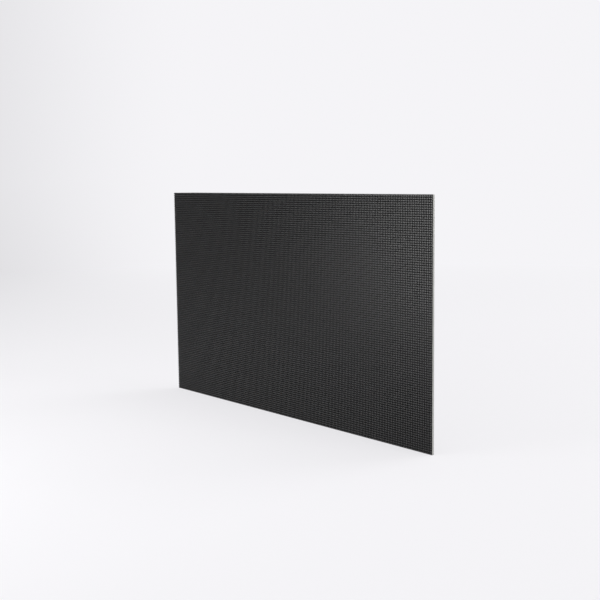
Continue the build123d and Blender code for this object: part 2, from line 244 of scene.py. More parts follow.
# Nodes whose edges are rounded: their material and the width of the rounding
SOFTENED = {
    "circuit_board": ("board_laminate", BOARD_EDGE),
    "rear_frame": ("frame_plastic", FRAME_EDGE),
    "frame_screws": ("screw_steel", SMALL_EDGE),
    "magnets": ("magnet_nickel", SMALL_EDGE),
    "magnet_screws": ("screw_steel", SMALL_EDGE),
    "guide_pins": ("pin_steel", SMALL_EDGE),
    "signal_in_header": ("header_black", SMALL_EDGE),
    "signal_out_header": ("header_black", SMALL_EDGE),
    "power_header": ("header_white", SMALL_EDGE),
    "bulk_capacitor_bases": ("capacitor_base", SMALL_EDGE),
    "bulk_capacitor_cans": ("can_aluminium", SMALL_EDGE),
}

# Camera, from the photograph
FOCAL_PX = 1048.6
PICTURE_PX = 600
SENSOR_MM = 36.0
AZIMUTH = math.radians(50.56)
ELEVATION = math.radians(6.68)
ROLL = math.radians(-0.651)
CAMERA_X = 610.2 * MM
CAMERA_FRONT = 488.3 * MM
CAMERA_Z = 180.7 * MM
CLIP_START = 0.01
CLIP_END = 100.0

# Studio: the surround is darker round one side, at these angles from -X towards +Y, and more so
# where it is mirrored. On the floor the angles are measured round a point beside the panel.
SURROUND = (0.912, 0.905, 0.93)
DARK_SIDE = (0.70, 0.695, 0.715)
DARK_MIRRORED = (0.32, 0.32, 0.328)
DARK_MIDDLE = math.radians(-32)
DARK_INNER = math.radians(47)
DARK_OUTER = math.radians(66)
SURROUND_CENTER = (0.45, -0.35)
FLOOR_COLOR = (0.80, 0.794, 0.815)
FLOOR_PLAIN = 0.75
FLOOR_RADIUS = 40.0
FLOOR_SIDES = 96
FADE_FROM = 0.4
FADE_TO = 1.4
WORLD_LIGHT = 0.32
# Name, place, size and watts of each lamp
LAMPS = (
    ("key", (-0.10, -0.45, 0.12), (0.3, 0.38), 1.75),
    ("front", (-0.24, -0.62, 0.17), (0.6, 0.3), 0.7),
    ("top", (0.2, 0.3, 1.8), (1.6, 1.6), 16.0),
    ("right", (1.6, 0.25, 0.7), (0.9, 0.9), 9.0),
    ("rear", (0.5, 1.6, 0.9), (1.0, 1.0), 14.0),
)

board_low, board_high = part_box("circuit_board")
led_low, led_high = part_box("led_rows")
pitch = (board_high.x - board_low.x) / COLUMNS
led_size = (led_high.z - led_low.z) - (ROWS - 1) * pitch
board_front = board_low.y
board_back = board_high.y
panel_height = board_high.z - board_low.z


def turns(count, start=0.0, end=2 * math.pi):
    """Angles spread evenly from the start towards the end."""
    return [start + (end - start) * i / count for i in range(count)]


def around(edge, side, inside, outside):
    """The stretch across an edge, lowest end first: this far inside it and this far outside."""
    return sorted((edge - side * inside, edge + side * outside))


class Shape:
    """Collects the vertices and faces of one piece."""

    def __init__(self):
        self.points = []
        self.faces = []

    def stack(self, rings, caps=True, loop=False):
        """Skin through rings of equally many points, closed by a face at both ends or back to the start."""
        count = len(rings[0])
        base = len(self.points)
        self.points.extend(point for ring in rings for point in ring)
        for k in range(len(rings) if loop else len(rings) - 1):
            here = base + k * count
            there = base + (k + 1) % len(rings) * count
            for i in range(count):
                j = (i + 1) % count
                self.faces.append([here + i, here + j, there + j, there + i])
        if caps:
            last = base + (len(rings) - 1) * count
            self.faces.append([base + i for i in reversed(range(count))])
            self.faces.append([last + i for i in range(count)])

    def mound(self, low_x, low_z, high_x, high_z, height, inset, base=0.0):
        """A low flat-topped mound on the board's back, narrowed by the inset towards its top."""
        rings = []
        for rise, shrink in ((base, 0.0), (base + height, inset)):
            y = board_back + rise
            rings.append([(low_x + shrink, y, low_z + shrink), (low_x + shrink, y, high_z - shrink),
                          (high_x - shrink, y, high_z - shrink), (high_x - shrink, y, low_z + shrink)])
        self.stack(rings)

    def disc(self, x, z, radius, height):
        """A low round mound on the board's back."""
        rings = []
        for rise, size in ((0.0, radius), (height, radius * VIA_TAPER)):
            y = board_back + rise
            rings.append([(x - size * math.cos(a), y, z + size * math.sin(a)) for a in turns(DISC_SIDES)])
        self.stack(rings)

    def block(self, x0, x1, z0, z1, height):
        """A block on the board's back with its edges eased."""
        edge = BLOCK_EDGE
        rings = []
        for inset, rise in ((edge, 0.0), (0.0, edge), (0.0, height - edge), (edge, height)):
            a, b, c, d = x0 + inset, x1 - inset, z0 + inset, z1 - inset
            y = board_back + rise
            rings.append([(a + edge, y, c), (a, y, c + edge), (a, y, d - edge), (a + edge, y, d),
                          (b - edge, y, d), (b, y, d - edge), (b, y, c + edge), (b - edge, y, c)])
        self.stack(rings)

    def ribbon(self, path, width, height):
        """A flat line of this width along a path of (x, z) points on the board's back."""
        ends = [Vector(p) for p in path]
        steps = [(b - a).normalized() for a, b in zip(ends, ends[1:])]
        rings = []
        for i, point in enumerate(ends):
            after = steps[min(i, len(steps) - 1)]
            along = (steps[max(i - 1, 0)] + after).normalized()
            across = Vector((-along.y, along.x)) * width / 2 / max(along.dot(after), 0.5)
            a, b = point + across, point - across
            rings.append([(a.x, board_back, a.y), (a.x, board_back + height, a.y),
                          (b.x, board_back + height, b.y), (b.x, board_back, b.y)])
        self.stack(rings)

    def piece(self, name, slot, *replaced, look=None):
        """Makes the piece, riding on the panel, in the place of the named nodes."""
        mesh = bpy.data.meshes.new(name)
        mesh.from_pydata([tuple(p) for p in self.points], [], self.faces)
        mesh.update()
        return placed(name, mesh, slot, *replaced, look=look)


def placed(name, mesh, slot, *replaced, look=None):
    """A piece of this mesh, with its faces turned outwards, riding on the panel. Its material is
    the slot's, unless another look is named."""
    bm = bmesh.new()
    bm.from_mesh(mesh)
    bmesh.ops.recalc_face_normals(bm, faces=bm.faces)
    bm.to_mesh(mesh)
    bm.free()
    made = bpy.data.objects.new(name, mesh)
    bpy.context.scene.collection.objects.link(made)
    mesh.materials.clear()
    mesh.materials.append(looks[look or slot])
    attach(made, "root")
    if replaced:
        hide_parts(*replaced)
    return made


def smooth(made):
    """Smooth shading, with the edges sharper than the limit kept."""
    made.data.shade_smooth()
    made.data.set_sharp_from_angle(angle=SOFT_ANGLE)


def islands(node):
    """Boxes of the separate solids of a CAD node, as lowest and highest corners."""
    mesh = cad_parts[node].data
    keys = {}
    index = [keys.setdefault(tuple(round(c, 7) for c in v.co), len(keys)) for v in mesh.vertices]
    leader = list(range(len(keys)))

    def find(i):
        while leader[i] != i:
            leader[i] = leader[leader[i]]
            i = leader[i]
        return i

    for polygon in mesh.polygons:
        first = find(index[polygon.vertices[0]])
        for vertex in polygon.vertices[1:]:
            leader[find(index[vertex])] = first
    groups = {}
    for point, i in keys.items():
        groups.setdefault(find(i), []).append(point)
    boxes = [(Vector(map(min, zip(*group))), Vector(map(max, zip(*group)))) for group in groups.values()]
    return sorted(boxes, key=lambda box: (round(box[0].x, 5), round(box[0].z, 5)))


def softened(node, slot, width):
    """A copy of a CAD node with its edges rounded, in its place."""
    bm = bmesh.new()
    bm.from_mesh(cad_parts[node].data)
    bmesh.ops.remove_doubles(bm, verts=bm.verts, dist=MERGE_DISTANCE)
    bmesh.ops.dissolve_limit(bm, angle_limit=MERGE_ANGLE, verts=bm.verts, edges=bm.edges)
    mesh = bpy.data.meshes.new(node)
    bm.to_mesh(mesh)
    bm.free()
    rough = bpy.data.objects.new(node, mesh)
    bpy.context.scene.collection.objects.link(rough)
    bevel = rough.modifiers.new("edges", "BEVEL")
    bevel.width = width
    bevel.segments = EDGE_SEGMENTS
    bevel.limit_method = "ANGLE"
    bevel.angle_limit = SOFT_ANGLE
    bpy.context.view_layer.update()
    graph = bpy.context.evaluated_depsgraph_get()
    final = bpy.data.meshes.new_from_object(rough.evaluated_get(graph))
    bpy.data.objects.remove(rough)
    smooth(placed(f"{node}_finished", final, slot, node))


class Tree:
    """Builds the shader nodes of the world or of a material."""

    def __init__(self, tree):
        self.tree = tree
        self.tree.nodes.clear()

    def new(self, kind, **settings):
        made = self.tree.nodes.new(kind)
        for key, value in settings.items():
            setattr(made, key, value)
        return made

    def link(self, source, target):
        self.tree.links.new(source, target)

    def put(self, value, target):
        """Sets a socket to a number or colour, or links it to another socket."""
        if isinstance(value, bpy.types.NodeSocket):
            self.link(value, target)
        elif isinstance(value, tuple) and len(value) == 3 and target.type == "RGBA":
            target.default_value = (*value, 1.0)
        else:
            target.default_value = value

    def split(self, vector):
        made = self.new("ShaderNodeSeparateXYZ")
        self.link(vector, made.inputs[0])
        return made.outputs

    def math(self, operation, a, b=0.0):
        made = self.new("ShaderNodeMath", operation=operation)
        self.put(a, made.inputs[0])
        self.put(b, made.inputs[1])
        return made.outputs[0]

    def ramp(self, value, low, high, out_low=0.0, out_high=1.0, kind="LINEAR"):
        made = self.new("ShaderNodeMapRange", interpolation_type=kind)
        for item, socket in zip((value, low, high, out_low, out_high), made.inputs):
            self.put(item, socket)
        return made.outputs[0]

    def mix(self, amount, a, b):
        """Mixes two colours."""
        made = self.new("ShaderNodeMix", data_type="RGBA")
        self.put(amount, made.inputs[0])
        self.put(a, made.inputs[6])
        self.put(b, made.inputs[7])
        return made.outputs[2]

    def glow(self, kind, color, strength=1.0):
        """An emission or background shader."""
        made = self.new(kind)
        self.put(color, made.inputs["Color"])
        self.put(strength, made.inputs["Strength"])
        return made.outputs[0]

    def blend(self, share, a, b):
        """Mixes two shaders."""
        made = self.new("ShaderNodeMixShader")
        for item, socket in zip((share, a, b), made.inputs):
            self.put(item, socket)
        return made.outputs[0]

    def seen(self):
        """1 for what the camera sees, directly, mirrored or through a clear part, and 0 for light."""
        path = self.new("ShaderNodeLightPath").outputs
        direct = self.math("MAXIMUM", path["Is Camera Ray"], path["Is Glossy Ray"])
        return self.math("MAXIMUM", direct, path["Is Transmission Ray"])

    def surround(self, x, y):
        """Colour of the surround in a direction along the floor, darker round one side."""
        mirrored = self.new("ShaderNodeLightPath").outputs["Is Glossy Ray"]
        dark = self.mix(mirrored, DARK_SIDE, DARK_MIRRORED)
        angle = self.math("ARCTAN2", y, self.math("MULTIPLY", x, -1.0))
        away = self.math("ABSOLUTE", self.math("SUBTRACT", angle, DARK_MIDDLE))
        return self.mix(self.ramp(away, DARK_INNER, DARK_OUTER, kind="SMOOTHSTEP"), dark, SURROUND)


class Nodes(Tree):
    """Builds one procedural material."""

    def __init__(self, name):
        self.material = bpy.data.materials.new(name)
        self.material.use_nodes = True
        super().__init__(self.material.node_tree)
        self.output = self.new("ShaderNodeOutputMaterial")
        self.shader = self.new("ShaderNodeBsdfPrincipled")
        self.link(self.shader.outputs["BSDF"], self.output.inputs["Surface"])
        place = self.new("ShaderNodeTexCoord")
        self.place = place.outputs["Object"]
        self.xyz = self.split(self.place)
        self.facing = self.split(place.outputs["Normal"])

    def stretched(self, x, y, z):
        """The place on the object, scaled along each axis."""
        made = self.new("ShaderNodeVectorMath", operation="MULTIPLY")
        self.link(self.place, made.inputs[0])
        made.inputs[1].default_value = (x, y, z)
        return made.outputs[0]

    def noise(self, scale, detail=3.0, roughness=0.55, vector=None):
        made = self.new("ShaderNodeTexNoise")
        self.link(vector or self.place, made.inputs["Vector"])
        self.put(scale, made.inputs["Scale"])
        self.put(detail, made.inputs["Detail"])
        self.put(roughness, made.inputs["Roughness"])
        return made.outputs["Fac"]

    def grain(self, scale):
        """Small rounded cells, as a spark-eroded mould leaves."""
        made = self.new("ShaderNodeTexVoronoi", feature="SMOOTH_F1")
        self.link(self.place, made.inputs["Vector"])
        self.put(scale, made.inputs["Scale"])
        return made.outputs["Distance"]

    def bump(self, height, distance, strength=1.0):
        made = self.new("ShaderNodeBump")
        self.put(height, made.inputs["Height"])
        made.inputs["Distance"].default_value = distance
        made.inputs["Strength"].default_value = strength
        self.link(made.outputs["Normal"], self.shader.inputs["Normal"])

    def finish(self, **sockets):
        names = {"color": "Base Color", "roughness": "Roughness", "metallic": "Metallic",
                 "specular": "Specular IOR Level", "coat": "Coat Weight",
                 "coat_roughness": "Coat Roughness"}
        for key, value in sockets.items():
            self.put(value, self.shader.inputs[names[key]])
        return self.material


def package_material():
    """Frosted dark resin over a black base, a little different from package to package."""
    n = Nodes("package_resin")
    across = n.math("DIVIDE", n.math("SUBTRACT", n.xyz["X"], board_low.x), pitch)
    up = n.math("DIVIDE", n.math("SUBTRACT", n.xyz["Z"], board_low.z), pitch)
    cell = n.new("ShaderNodeCombineXYZ")
    n.link(n.math("FLOOR", across), cell.inputs[0])
    n.link(n.math("FLOOR", up), cell.inputs[1])
    lot = n.new("ShaderNodeTexWhiteNoise", noise_dimensions="2D")
    n.link(cell.outputs[0], lot.inputs["Vector"])
    # Place inside the package, from its middle, in millimetres
    u = n.math("MULTIPLY", n.math("SUBTRACT", n.math("FRACT", across), 0.5), pitch / MM)
    v = n.math("MULTIPLY", n.math("SUBTRACT", n.math("FRACT", up), 0.5), pitch / MM)
    top = n.math("GREATER_THAN", n.math("MULTIPLY", n.facing["Y"], -1.0), FLAT_FACE)
    resin = n.mix(n.ramp(lot.outputs["Value"], 0.0, 1.0, *RESIN_TONES), *RESIN)
    # Three small dies, one above another, seen faintly through the resin
    off_u = n.math("ABSOLUTE", n.math("SUBTRACT", u, DIE_OFFSET))
    inside_u = n.math("LESS_THAN", off_u, DIE_HALF_WIDTH)
    for middle, tint in zip(DIE_PLACES, DIE_TINTS):
        off_v = n.math("ABSOLUTE", n.math("SUBTRACT", v, middle))
        inside_v = n.math("LESS_THAN", off_v, DIE_HALF_HEIGHT)
        die = n.math("MULTIPLY", n.math("MULTIPLY", inside_u, inside_v), top)
        resin = n.mix(n.math("MULTIPLY", die, DIE_SHARE), resin, tint)
    depth = n.math("DIVIDE", n.math("SUBTRACT", board_front, n.xyz["Y"]), MM)
    color = n.mix(n.math("LESS_THAN", depth, BASE_LAYER_HEIGHT), resin, BASE_LAYER)
    n.bump(n.noise(RESIN_GRAIN, 2.0), RESIN_BUMP, 0.5)
    rough = n.ramp(lot.outputs["Value"], 0.0, 1.0, *RESIN_ROUGHNESS)
    return n.finish(color=color, roughness=rough, specular=0.55)


def board_material():
    """Black solder mask, glossier at the back, and the pale layered laminate at the cut edges."""
    n = Nodes("board_laminate")
    edge = n.math("LESS_THAN", n.math("ABSOLUTE", n.facing["Y"]), CUT_FACE)
    back = n.math("GREATER_THAN", n.facing["Y"], CUT_FACE)
    weave = n.noise(WEAVE_GRAIN, 4.0)
    depth = n.math("DIVIDE", n.math("SUBTRACT", n.xyz["Y"], board_front), MM)
    layers = n.math("ABSOLUTE", n.math("SINE", n.math("MULTIPLY", depth, LAYER_TURN)))
    pale = n.mix(n.math("MULTIPLY", layers, LAYER_SHARE), *LAMINATE)
    pale = n.mix(n.math("MULTIPLY", weave, WEAVE_SHARE), pale, WEAVE)
    color = n.mix(edge, n.mix(n.noise(MASK_GRAIN, 5.0), *SOLDER_MASK), pale)
    rough = n.math("ADD", MASK_ROUGHNESS, n.math("MULTIPLY", back, MASK_ROUGHER))
    n.bump(weave, WEAVE_BUMP, 0.4)
    return n.finish(color=color, roughness=rough, specular=0.035, coat=n.math("MULTIPLY", back, 0.5),
                    coat_roughness=0.22)


def plastic_material(name):
    """Moulded plastic or ink with a fine grain, painted shade in the pits between its grains, and slow
    changes of tone.
    """
    dark, light, roughness, grain_scale, grain_height = PLASTICS[name]
    n = Nodes(name)
    flow = n.noise(FLOW_SCALE, 4.0, 0.6)
    fine = n.grain(grain_scale)
    n.bump(fine, grain_height, 0.8)
    rough = n.math("ADD", n.ramp(flow, 0.3, 0.7, -0.05, 0.05),
                   n.ramp(fine, 0.0, 0.8, roughness - 0.06, roughness + 0.08))
    # Painted shade: the pits between the grains are darkened in colour, as they hold less light
    painted_pit_shade = n.ramp(fine, 0.25, 0.75, 0.0, 0.4)
    color = n.mix(painted_pit_shade, n.mix(flow, dark, light), tuple(0.5 * value for value in dark))
    return n.finish(color=color, roughness=rough, specular=0.45)


def metal_material(name):
    """Bare or plated metal with stains and fine tool marks, which the stretch draws out."""
    dark, light, roughness, stretch, scale, height = METALS[name]
    n = Nodes(name)
    marks = n.noise(scale, 4.0, 0.65, n.stretched(*stretch))
    both = n.math("ADD", marks, n.noise(STAIN_SCALE, 3.0))
    color = n.mix(n.math("MULTIPLY", both, 0.5), dark, light)
    n.bump(marks, height, 0.6)
    rough = n.ramp(both, 0.6, 1.4, roughness - 0.07, roughness + 0.1)
    return n.finish(color=color, roughness=rough, metallic=1.0)


def resistor_material():
    """White ceramic with a dark glazed top."""
    n = Nodes("resistor_film")
    top = n.math("GREATER_THAN", n.facing["Y"], FLAT_FACE)
    glaze = n.mix(n.noise(900.0), (0.012, 0.012, 0.013), (0.028, 0.028, 0.03))
    ceramic = n.mix(n.noise(2500.0), (0.62, 0.61, 0.58), (0.74, 0.73, 0.70))
    n.bump(n.noise(4000.0), 0.004 * MM, 0.5)
    rough = n.math("SUBTRACT", 0.6, n.math("MULTIPLY", top, 0.35))
    return n.finish(color=n.mix(top, ceramic, glaze), roughness=rough)


def materials():
    """Every material by name: the slots' own, and the inks and the traces' mask laid over them."""
    made = {"led_package": package_material(), "board_laminate": board_material(),
            "resistor_film": resistor_material()}
    made.update((name, plastic_material(name)) for name in PLASTICS)
    made.update((name, metal_material(name)) for name in METALS)
    return made


def led_pieces():
    """The light-emitting packages: a chamfered block at each point of the grid."""
    rng = random.Random(SEED)
    half = led_size / 2
    height = board_front - led_low.y
    rows_each = ROWS // LED_PIECES
    square = ((-1, -1), (-1, 1), (1, 1), (1, -1))
    for part in range(LED_PIECES):
        shape = Shape()
        for row in range(part * rows_each, (part + 1) * rows_each):
            z = board_low.z + (row + 0.5) * pitch
            for column in range(COLUMNS):
                x = board_low.x + (column + 0.5) * pitch + rng.uniform(-1, 1) * PACKAGE_SHIFT
                top = height - rng.uniform(0.5, 1.0) * PACKAGE_SINK
                lean_x = math.tan(rng.uniform(-1, 1) * PACKAGE_TILT)
                lean_z = math.tan(rng.uniform(-1, 1) * PACKAGE_TILT)
                levels = ((half, 0.0), (half, top - PACKAGE_CHAMFER), (half - PACKAGE_CHAMFER, top))
                rings = []
                for size, rise in levels:
                    ring = []
                    for sx, sz in square:
                        lift = (sx * lean_x + sz * lean_z) * half if rise else 0.0
                        y = board_front - min(rise + lift, height)
                        ring.append((x + sx * size, y, z + sz * size))
                    rings.append(ring)
                shape.stack(rings)
        shape.piece(f"led_packages_{part + 1}", "led_package", "led_rows")


def moulded_body(shape, low, high, dimpled=True):
    """A chip body with drafted sides and small corners, and a round dimple at its first lead."""
    height = high.y - low.y
    mark_x = high.x - DIMPLE_INSET
    mark_z = low.z + DIMPLE_INSET
    levels = ((DRAFT, STANDOFF), (0.0, height * WAIST[0]), (0.0, height * WAIST[1]),
              (DRAFT, height - CORNER), (DRAFT + CORNER, height))
    rings = []
    for inset, rise in levels:
        x0, x1, z0, z1 = low.x + inset, high.x - inset, low.z + inset, high.z - inset
        plan = ((x0 + CORNER, z0), (x0, z0 + CORNER), (x0, mark_z), (x0, z1 - CORNER), (x0 + CORNER, z1),
                (x1 - CORNER, z1), (x1, z1 - CORNER), (x1, mark_z), (x1, z0 + CORNER), (x1 - CORNER, z0))
        rings.append([(x, board_back + rise, z) for x, z in plan])
    shape.stack(rings, caps=not dimpled)
    if not dimpled:
        return
    count = len(rings[0])
    base = len(shape.points) - count
    shape.faces.append([base - (len(rings) - 1) * count + i for i in reversed(range(count))])
    # The top in two faces that meet at the dimple, then the dimple itself
    for y in (board_back + height, board_back + height - DIMPLE_DEPTH):
        shape.points.extend([(mark_x - DIMPLE_RADIUS * math.cos(a), y, mark_z + DIMPLE_RADIUS * math.sin(a))
                             for a in turns(DIMPLE_SIDES)])
    rim = base + count
    half = DIMPLE_SIDES // 2
    upper = [rim + i for i in reversed(range(half + 1))]
    lower = [rim + (half + i) % DIMPLE_SIDES for i in reversed(range(half + 1))]
    shape.faces.append([base + i for i in range(2, 8)] + upper)
    shape.faces.append([base + i % count for i in range(7, count + 3)] + lower)
    for i in range(DIMPLE_SIDES):
        j = (i + 1) % DIMPLE_SIDES
        shape.faces.append([rim + i, rim + j, rim + DIMPLE_SIDES + j, rim + DIMPLE_SIDES + i])
    shape.faces.append([rim + DIMPLE_SIDES + i for i in range(DIMPLE_SIDES)])


def gull_wing(shape, x, edge, side, height, width, reach, foot):
    """A lead that leaves the body about half way up and bends down to its foot, towards one side of Z."""
    half = LEAD_THICKNESS / 2
    middle = height * LEAD_EXIT
    slant = (side * LEAD_SLANT[0], LEAD_SLANT[1])
    path = ((edge - side * LEAD_ROOT, middle), (edge + side * LEAD_SHOULDER, middle),
            (reach - side * foot, PAD_HEIGHT + half), (reach, PAD_HEIGHT + half))
    tips = ((0.0, 1.0), slant, slant, (0.0, 1.0))
    rings = []
    for (z, rise), (tip_z, tip_y) in zip(path, tips):
        ring = []
        for sx, sn in ((-1, -1), (-1, 1), (1, 1), (1, -1)):
            y = board_back + rise + sn * half * tip_y
            ring.append((x + sx * width / 2, y, z + sn * half * tip_z))
        rings.append(ring)
    shape.stack(rings)


class Board:
    """The small things on the board's back that the parts share."""

    def __init__(self, rng):
        self.rng = rng
        self.leads = Shape()
        self.pads = Shape()
        self.legend = Shape()
        self.traces = Shape()
        self.vias = Shape()
        self.terminals = Shape()
        self.tails = Shape()

    def chips(self, node, name, lead_plan):
        """Chip bodies in place of the CAD solids, with leads, pads, outline strokes and short traces."""
        bodies = Shape()
        for low, high in islands(node):
            moulded_body(bodies, low, high)
            for side in (-1, 1):
                self.lead_row(low, high, side, *lead_plan)
            for end in (low.x - LEGEND_GAP, high.x + LEGEND_GAP):
                self.legend.ribbon([(end, low.z), (end, high.z)], LEGEND_WIDTH, LEGEND_HEIGHT)
            self.legend.disc(high.x + LEGEND_GAP, low.z - LEGEND_DOT_GAP, LEGEND_DOT, LEGEND_HEIGHT)
        bodies.piece(name, "chip_black", node)

    def lead_row(self, low, high, side, count, lead_pitch, width, span, foot):
        """The leads on one side of a chip, each on its pad, and a stub of trace at some of them."""
        middle = (low.x + high.x) / 2
        edge = high.z if side > 0 else low.z
        reach = (low.z + high.z) / 2 + side * span / 2
        near, far = around(reach, side, foot + PAD_MARGIN, 3 * PAD_MARGIN)
        half = (width + PAD_MARGIN) / 2
        for i in range(count):
            x = middle + (i - (count - 1) / 2) * lead_pitch
            gull_wing(self.leads, x, edge, side, high.y - low.y, width, reach, foot)
            self.pads.mound(x - half, near, x + half, far, PAD_HEIGHT, PAD_SLOPE)
            if self.rng.random() < STUB_SHARE:
                end = reach + side * STUB_LENGTHS[i % 2]
                self.traces.ribbon([(x, reach), (x, end)], STUB_WIDTH, TRACE_HEIGHT)
                self.vias.disc(x, end, VIA_RADIUS, TRACE_HEIGHT)

    def end_terminals(self, bodies, low, high):
        """A small block with a tinned cap and a pad at each end."""
        height = high.y - low.y
        slim = TERMINAL_STEP
        inset = TERMINAL_LENGTH * (1 - TERMINAL_LAP)
        bodies.block(low.x + inset, high.x - inset, low.z + slim, high.z - slim, height - slim)
        for edge, side in ((low.x, -1), (high.x, 1)):
            near, far = around(edge, side, TERMINAL_LENGTH, 0.0)
            self.terminals.block(near, far, low.z, high.z, height)
            near, far = around(edge, side, TERMINAL_LENGTH + PAD_IN, PAD_OUT)
            self.pads.mound(near, low.z - PAD_MARGIN, far, high.z + PAD_MARGIN, PAD_HEIGHT, PAD_SLOPE)

    def side_terminals(self, bodies, low, high):
        """A resistor array: a block with a row of terminals along both long sides."""
        height = high.y - low.y
        slim = TERMINAL_STEP
        bodies.block(low.x, high.x, low.z + slim, high.z - slim, height - slim)
        for i in range(ARRAY_TERMINALS):
            middle = (low.x + high.x) / 2 + (i - (ARRAY_TERMINALS - 1) / 2) * ARRAY_PITCH
            left, right = middle - ARRAY_TERMINAL_HALF, middle + ARRAY_TERMINAL_HALF
            for edge, side in ((low.z, -1), (high.z, 1)):
                near, far = around(edge, side, TERMINAL_LENGTH, 0.0)
                self.terminals.block(left, right, near, far, height)
                self.pads.mound(left, near - ARRAY_PAD, right, far + ARRAY_PAD, PAD_HEIGHT, PAD_SLOPE)

    def passives(self, node, name, slot, terminals):
        """Small tinned blocks in place of the CAD solids, with a printed stroke along both sides."""
        bodies = Shape()
        for low, high in islands(node):
            terminals(bodies, low, high)
            for z in (low.z - LEGEND_GAP, high.z + LEGEND_GAP):
                self.legend.ribbon([(low.x, z), (high.x, z)], LEGEND_FINE, LEGEND_HEIGHT)
        bodies.piece(name, slot, node)

    def diodes(self):
        """Moulded diodes with folded end straps and a pale band at one end."""
        bodies = Shape()
        bands = Shape()
        for low, high in islands("surge_diodes"):
            height = high.y - low.y
            moulded_body(bodies, low, high, dimpled=False)
            middle = (low.z + high.z) / 2
            bottom, top = middle - STRAP_HALF, middle + STRAP_HALF
            for edge, side in ((low.x, -1), (high.x, 1)):
                near, far = around(edge, side, STRAP_IN, STRAP_OUT)
                self.terminals.block(near, far, bottom, top, height * STRAP_RISE)
                near, far = around(edge, side, DIODE_PAD_IN, DIODE_PAD_OUT)
                self.pads.mound(near, bottom - DIODE_PAD_SIDE, far, top + DIODE_PAD_SIDE, PAD_HEIGHT,
                                WIDE_PAD_SLOPE)
            bands.mound(low.x + BAND_FROM, low.z + BAND_SIDE, low.x + BAND_TO, high.z - BAND_SIDE,
                        BAND_HEIGHT, 0.0, base=height)
            stroke = low.x - DIODE_STROKE
            self.legend.ribbon([(stroke, low.z), (stroke, high.z)], LEGEND_BOLD, LEGEND_HEIGHT)
        bodies.piece("diode_bodies", "diode_black", "surge_diodes")
        bands.piece("diode_bands", "diode_black", look="pale_ink")

    def bulk_capacitors(self):
        """Dark printed segments on the tops of the cans, and tinned tabs under their bases."""
        marks = Shape()
        for low, high in islands("bulk_capacitor_cans"):
            x, z = (low.x + high.x) / 2, (low.z + high.z) / 2
            radius = (high.x - low.x) / 2 - MARK_INSET
            bow = turns(MARK_POINTS, *MARK_ARC)
            marks.stack([[(x + radius * math.cos(a), y, z + radius * math.sin(a)) for a in bow]
                         for y in (high.y, high.y + MARK_HEIGHT)])
        for low, high in islands("bulk_capacitor_bases"):
            x = (low.x + high.x) / 2
            for edge, side in ((low.z, -1), (high.z, 1)):
                near, far = around(edge, side, TAB_IN, TAB_OUT)
                self.terminals.block(x - TAB_HALF, x + TAB_HALF, near, far, TAB_HEIGHT)
        marks.piece("can_marks", "can_aluminium", look="dark_ink")

    def header_tails(self, node):
        """Flat tails that come out from under a signal header on both sides, on their pads."""
        boxes = islands(node)
        middle = sum((low.x + high.x) / 2 for low, high in boxes) / len(boxes)
        shroud_low, shroud_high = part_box(node.replace("contacts", "header"))
        for low, high in boxes:
            side = 1 if low.x > middle else -1
            edge = shroud_high.x if side > 0 else shroud_low.x
            near, far = around(edge, side, TAIL_IN, TAIL_OUT)
            self.tails.block(near, far, low.z, high.z, TAIL_HEIGHT)
            near, far = around(edge, side, TAIL_IN, TAIL_PAD_OUT)
            self.pads.mound(near, low.z - TAIL_PAD_SIDE, far, high.z + TAIL_PAD_SIDE, PAD_HEIGHT,
                            WIDE_PAD_SLOPE)

    def buses(self):
        """Bundles of parallel traces between the rows of drivers in each window."""
        boxes = islands("driver_chips")
        columns = sorted({round((low.x + high.x) / 2, 5) for low, high in boxes})
        rows = sorted({round((low.z + high.z) / 2, 5) for low, high in boxes})
        windows = [[columns[0]]]
        for x in columns[1:]:
            if x - windows[-1][-1] > WINDOW_GAP:
                windows.append([])
            windows[-1].append(x)
        for k, (z, next_z) in enumerate(zip(rows, rows[1:])):
            if next_z - z > ROW_GAP:
                continue
            for w, group in enumerate(windows):
                turn = group[1] + BUS_TURN + w * BUS_TURN_BY_WINDOW + k * BUS_TURN_BY_ROW
                self.bus(group[0], turn, group[-1], z + BUS_RISE, BUS_STEPS[(k + w) % 2])

    def bus(self, left, turn, right, bottom, step):
        """One bundle from this height up, whose traces step up side by side on the way."""
        for i in range(BUS_TRACES):
            z = bottom + i * BUS_PITCH
            bend = turn - i * BUS_PITCH * math.tan(math.pi / 8)
            stagger = BUS_STAGGER * (i % 3)
            start = left - BUS_OVERHANG - stagger
            end = right + BUS_OVERHANG - stagger
            path = [(start, z), (bend, z), (bend + step, z + step), (end, z + step)]
            self.traces.ribbon(path, TRACE_WIDTH, TRACE_HEIGHT)
            self.vias.disc(start, z, VIA_RADIUS, BUS_VIA_HEIGHT)
            self.vias.disc(end, z + step, VIA_RADIUS, BUS_VIA_HEIGHT)

    def pieces(self):
        """Makes a piece of each kind of small thing."""
        self.leads.piece("chip_leads", "contact_tin")
        self.pads.piece("solder_pads", "contact_tin")
        self.terminals.piece("part_terminals", "contact_tin")
        self.tails.piece("header_tails", "contact_gold")
        self.vias.piece("board_vias", "board_laminate", look="trace_mask")
        self.traces.piece("board_traces", "board_laminate", look="trace_mask")
        self.legend.piece("board_legend", "board_laminate", look="pale_ink")


def contacts(node, slot):
    """Square contacts with tapered tips, in place of the plain ones."""
    shape = Shape()
    for low, high in islands(node):
        width = high.x - low.x
        rings = []
        for inset, y in ((0.0, low.y), *((s * width, high.y - back * width) for s, back in CONTACT_TIP)):
            rings.append([(low.x + inset, y, low.z + inset), (low.x + inset, y, high.z - inset),
                          (high.x - inset, y, high.z - inset), (high.x - inset, y, low.z + inset)])
        shape.stack(rings)
    shape.piece(f"{node}_finished", slot, node)


